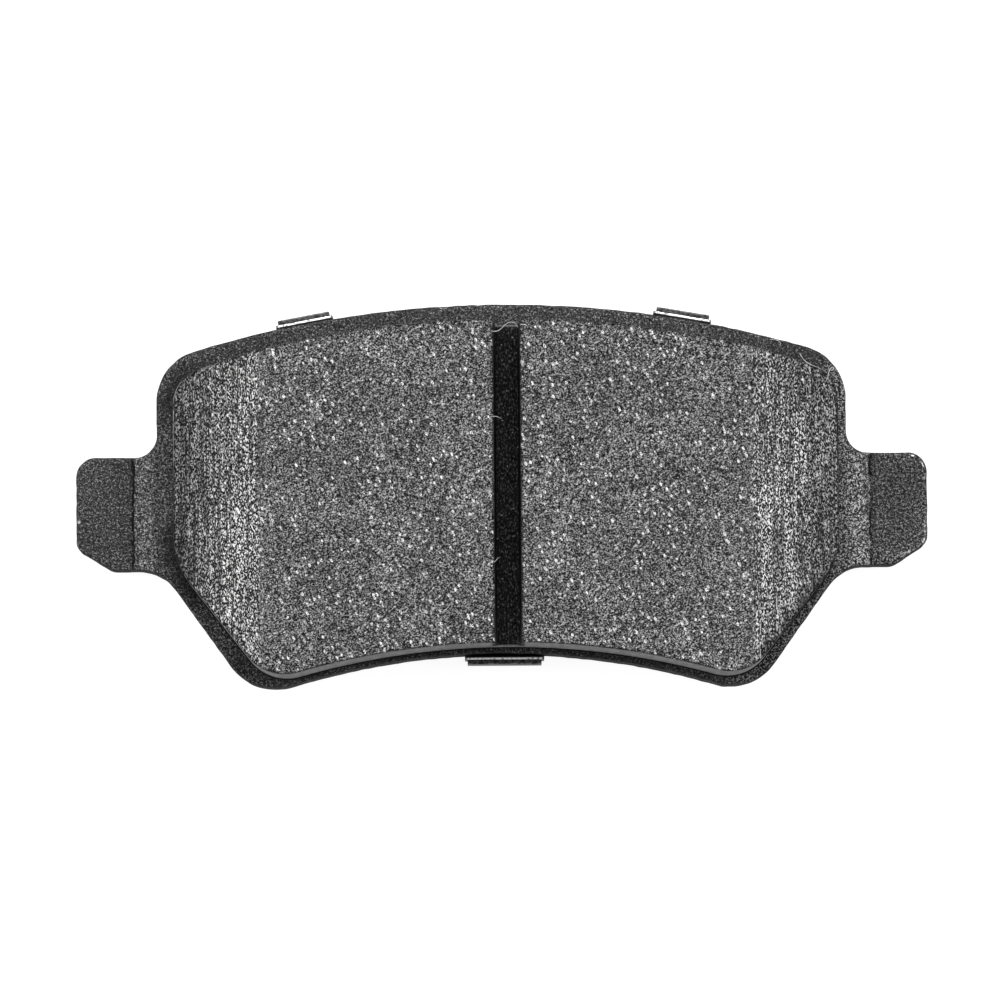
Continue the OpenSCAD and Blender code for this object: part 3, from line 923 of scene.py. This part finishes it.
# --- Noise shim ---------------------------------------------------------------
# Two steel sheets with a film of rubber between them, stuck to the plate's back
# and clipped on by three tabs that are bent up round the plate's edge. The sheets
# are blanked flat and then folded; the cut ends of the tabs face forward.
shim_inset, shim_side_r, sheet_w, rubber_w = 1.2, 8, 0.4, 0.1
tab_step, tab_tip_r, tongue_step = 0.3, 0.35, 0.09
shim_shape = Shape(outer_r=plate_shape.outer_r - shim_inset, outer_y=outer_y - shim_inset,
                   half_w=plate_shape.half_w - shim_inset,
                   corner_r=plate_shape.corner_r - shim_inset, slant=plate_shape.slant,
                   lobe=plate_shape.lobe, lobe_r=plate_shape.lobe_r - shim_inset,
                   hollow_y=plate_shape.hollow_y + shim_inset)
shim_loop = spaced(whole(shim_shape.plain_half(shim_side_r)), 0.4)
bend_u, bend_z = -0.1, box_mm("shim_adhesive")[0][2] + 0.2


def tab_frame(middle, width, outer):
    """A tab's foot on the plate's edge, its way out and its way across."""
    if outer:
        out = np.array([middle, math.sqrt(plate_shape.outer_r ** 2 - middle ** 2)])
        foot = out + [0, plate_shape.outer_y - plate_shape.outer_r]
        out = out / plate_shape.outer_r
    else:
        out = np.array([0.0, -1.0])
        foot = np.array([middle, plate_shape.hollow_at(abs(middle) + width / 2)])
    return foot, out, np.array([-out[1], out[0]])


def on_tab(points, foot, out, across):
    """How far points lie out from a tab's foot, and how far across."""
    return (points[:, :2] - foot) @ out, (points[:, :2] - foot) @ across


# middle along the pad, width, and whether it is on the outer edge
tabs = [(width, *tab_frame(middle, width, outer)) for middle, width, outer in
        ((-22, 6.5, True), (20.4, 6.6, True), (0.2, 8.9, False))]


def blank(reach, step_in):
    """Outline of the flat blank: the sheet's loop with a tongue at each tab."""
    loop = shim_loop
    for width, foot, out, across in tabs:
        half = width / 2 - step_in
        u, v = on_tab(loop, foot, out, across)
        taken = (np.abs(v) < half) & (np.abs(u) < 4)
        start = np.flatnonzero(taken & ~np.roll(taken, 1))[0]
        loop, taken = np.roll(loop, -start, axis=0), np.roll(taken, -start)
        u = np.roll(u, -start)[:taken.sum()]
        r = tab_tip_r
        path = np.vstack([[[u[0], -half], [reach - r, -half]],
                          arc((reach - r, -half + r), r, -90, 0),
                          arc((reach - r, half - r), r, 0, 90),
                          [[u[-1], half]]])
        tongue = spaced(path, tongue_step, closed=False)
        tongue = foot + tongue[:, :1] * out + tongue[:, 1:] * across
        loop = np.vstack([tongue, loop[taken.sum():]])
    return loop


def bent(points, middle_z):
    """Folds the tongues up. Past the bend line, at distance d along the blank, a
    point turns by d / r round the bend's centre, up to a right angle, where r is
    the radius of the sheet's middle; what is left of d goes straight up."""
    points = points.copy()
    for width, foot, out, across in tabs:
        u, v = on_tab(points, foot, out, across)
        far = np.clip(u - bend_u, 0, None) * (np.abs(v) < width / 2 + 0.05)
        radius = bend_z - middle_z
        turn = np.clip(far / radius, 0, math.pi / 2)
        leg = np.clip(far - radius * math.pi / 2, 0, None)
        own = bend_z - points[:, 2]
        moved = np.where(far > 0, bend_u + own * np.sin(turn) - u, 0)
        points[:, :2] += moved[:, None] * out
        points[:, 2] = np.where(far > 0, bend_z - own * np.cos(turn) + leg, points[:, 2])
    return points


def shim_sheet(name, thickness, step_in):
    """One layer of the shim with its three tabs bent up."""
    low, high = box_mm(name)
    bottom, top = low[2], low[2] + thickness
    middle_z = (bottom + top) / 2
    reach = bend_u + (bend_z - middle_z) * math.pi / 2 + high[2] - bend_z
    loop = blank(reach, step_in)
    soft = thickness * 0.1
    rim = [(soft, 1, 0), (0, 1, -soft), (0, 1, -3.5 * soft), (0, 1, -4.5 * soft),
           (0, 0, soft), (soft, 0, 0)]
    inner = [lattice(shim_loop, 1.5, 0.9)]
    for width, foot, out, across in tabs:
        half = width / 2 - step_in - 0.1
        u, v = np.meshgrid(np.arange(-0.5, reach - 0.1, tongue_step),
                           np.arange(-half, half, 0.3))
        inner.append(foot + u.reshape(-1, 1) * out + v.reshape(-1, 1) * across)
    inner = np.vstack(inner)
    inner = inner[inside(inner, loop)]
    inner = inner[distance(inner, loop) > 0.06]
    points, triangles, on_rim = body(loop, rim, flat_at(top), flat_at(bottom), inner, inner)
    points = bent(points, middle_z)
    made = mesh_object(name.replace("shim_", "folded_shim_"), points, triangles)
    row = np.arange(len(points)) // len(loop)
    # the bare cut edge is painted brightest at the tabs' ends, less their corners: a painted
    # glint on top of the bare steel's own brightness
    cut_brightness_and_glint = 0.25 + 0.75 * smooth(points[:, 2], high[2] - 0.3, high[2] - 0.1)
    for width, foot, out, across in tabs:
        u, v = on_tab(points, foot, out, across)
        end = smooth(np.abs(v), width / 2 - 0.35, width / 2 - 0.15)
        cut_brightness_and_glint = cut_brightness_and_glint * (1 - 0.8 * end * (np.abs(u) < 2) * (np.abs(v) < width))
    # only the outer part of the cut edge is bright; the part next to the plate stays black,
    # painted shade for the gap between tab and plate
    paint(made, "cut", on_rim * ((row == 3) | (row == 4)) * cut_brightness_and_glint)
    paint(made, "corner", on_rim * ((row < 2) | (row > 3)))
    return made


def blackened_steel():
    """Blackened rolled steel, drawn along X, with a torn, bright cut edge."""
    steel = Finish("blackened_sheet_steel", specular=0.2, roughness=0.5)
    drawn = steel.grain(0.3, 2, steel.stretched(8, 1, 1))
    torn = steel.grain(0.28, 2)
    cut = steel.mask("cut")
    black = steel.ramp(drawn, (0.3, 0.008), (0.7, 0.03))
    bright = steel.ramp(torn, (0.34, 0.25), (0.46, 0.8), (0.62, 1.0))
    steel.feed("Base Color", steel.mix(cut, black, bright))
    steel.feed("Metallic", steel.times(cut, 0.5))
    steel.feed("Roughness", steel.mix(cut, steel.level(drawn, 0.3, 0.7, 0.4, 0.6), 0.55))
    steel.bump(steel.mix(cut, drawn, torn), 0.03)
    return steel


def shim_rubber():
    """Black rubber film."""
    rubber = Finish("damping_rubber", specular=0.3, roughness=0.75)
    rubber.feed("Base Color", rubber.ramp(rubber.grain(0.5), (0.35, 0.004), (0.65, 0.012)))
    rubber.bump(rubber.grain(0.3, 1), 0.01)
    return rubber


def coated_steel():
    """Dark baked coating on sheet steel, painted pale in patches along the sheared corners
    as painted highlight, with faint scuffs on the flat back."""
    coat = Finish("coated_sheet_steel", specular=0.2, roughness=0.5)
    speckle = coat.grain(0.35, 2)
    cloud = coat.grain(9, 3)
    tone = coat.ramp(speckle, (0.35, 0.005), (0.5, 0.018), (0.65, 0.045))
    tone = coat.times(tone, coat.level(cloud, 0.3, 0.7, 0.8, 1.25))
    for turn, share in ((15, 0.10), (-35, 0.08), (80, 0.06)):
        scuff = coat.specks(3.5, 0.035, share, coat.stretched(1, 22, 1, turn))
        tone = coat.mix(coat.times(scuff, 0.5), tone, 0.2)
    # painted highlight: pale patches along the sheared corners
    painted_corner_highlight = coat.times(coat.mask("corner"), coat.level(coat.grain(0.5, 2), 0.35, 0.65, 0, 0.5))
    coat.feed("Base Color", coat.mix(painted_corner_highlight, tone, 0.35))
    coat.feed("Roughness", coat.level(cloud, 0.3, 0.7, 0.42, 0.6))
    coat.bump(speckle, 0.02)
    return coat


def shim_glue():
    """Pale pressure-sensitive adhesive, slightly streaked."""
    glue = Finish("shim_adhesive", specular=0.4, roughness=0.55)
    streaks = glue.grain(0.8, 2, glue.stretched(5, 1, 1))
    glue.feed("Base Color", glue.ramp(streaks, (0.3, 0.13), (0.7, 0.22)))
    glue.bump(glue.grain(0.4, 2), 0.02)
    return glue


glue_low, glue_high = box_mm("shim_adhesive")
glue_points = lattice(shim_loop, 3, 1)
points, triangles, _ = body(shim_loop, [(0, 1, 0), (0, 0, 0)], flat_at(glue_high[2]),
                            flat_at(glue_low[2]), glue_points, glue_points)
glue = mesh_object("shim_adhesive_film", points, triangles)
shim_glue().dress(glue, "shim_adhesive", "shim_glue")
# the rubber and the outer sheet have narrower tabs than the inner sheet
for finish, node, thickness, step_in, slot in (
        (blackened_steel(), "shim_inner_steel", sheet_w, 0, "bare_shim_steel"),
        (shim_rubber(), "shim_damping_layer", rubber_w, tab_step, "shim_rubber"),
        (coated_steel(), "shim_outer_steel", sheet_w, tab_step, "coated_shim_steel")):
    finish.dress(shim_sheet(node, thickness, step_in), node, slot)


# --- Floor, light and air -----------------------------------------------------
# A plain white table in a white room, with soft boxes above and to both sides.
floor_half, floor_z = 6, -0.00002
floor_mesh = bpy.data.meshes.new("table_top")
floor_mesh.from_pydata([(x * floor_half, y * floor_half, floor_z)
                        for x, y in ((-1, -1), (1, -1), (1, 1), (-1, 1))],
                       [], [(0, 1, 2, 3)])
table_top = bpy.data.objects.new("table_top", floor_mesh)
bpy.context.collection.objects.link(table_top)
table_white = bpy.data.materials.new("table_white")
table_white.use_nodes = True
for name, value in (("Base Color", (0.3, 0.3, 0.3, 1)), ("Roughness", 1),
                    ("Specular IOR Level", 0), ("Emission Color", (1, 1, 1, 1)),
                    ("Emission Strength", 0.88)):
    table_white.node_tree.nodes["Principled BSDF"].inputs[name].default_value = value
floor_mesh.materials.append(table_white)

room = bpy.data.worlds.new("white_room")
bpy.context.scene.world = room
room.use_nodes = True
background = room.node_tree.nodes["Background"]
background.inputs["Color"].default_value = (1, 1, 1, 1)
background.inputs["Strength"].default_value = 0.5
bpy.context.scene.view_settings.view_transform = "Standard"


def soft_box(name, place, size, power):
    """A square area light that faces the pad."""
    data = bpy.data.lights.new(name, "AREA")
    data.shape = "SQUARE"
    data.size = size
    data.energy = power
    made = bpy.data.objects.new(name, data)
    bpy.context.collection.objects.link(made)
    made.location = place
    made.rotation_euler = Vector(place).to_track_quat("Z", "Y").to_euler()
    made.visible_camera = False


# place and size in metres, power in watts
soft_box("box_above", (0, 0.75, 1.1), 0.6, 15)
soft_box("box_left", (-1.0, 0.1, 0.6), 0.4, 7)
soft_box("box_right", (1.0, 0.1, 0.6), 0.4, 7)
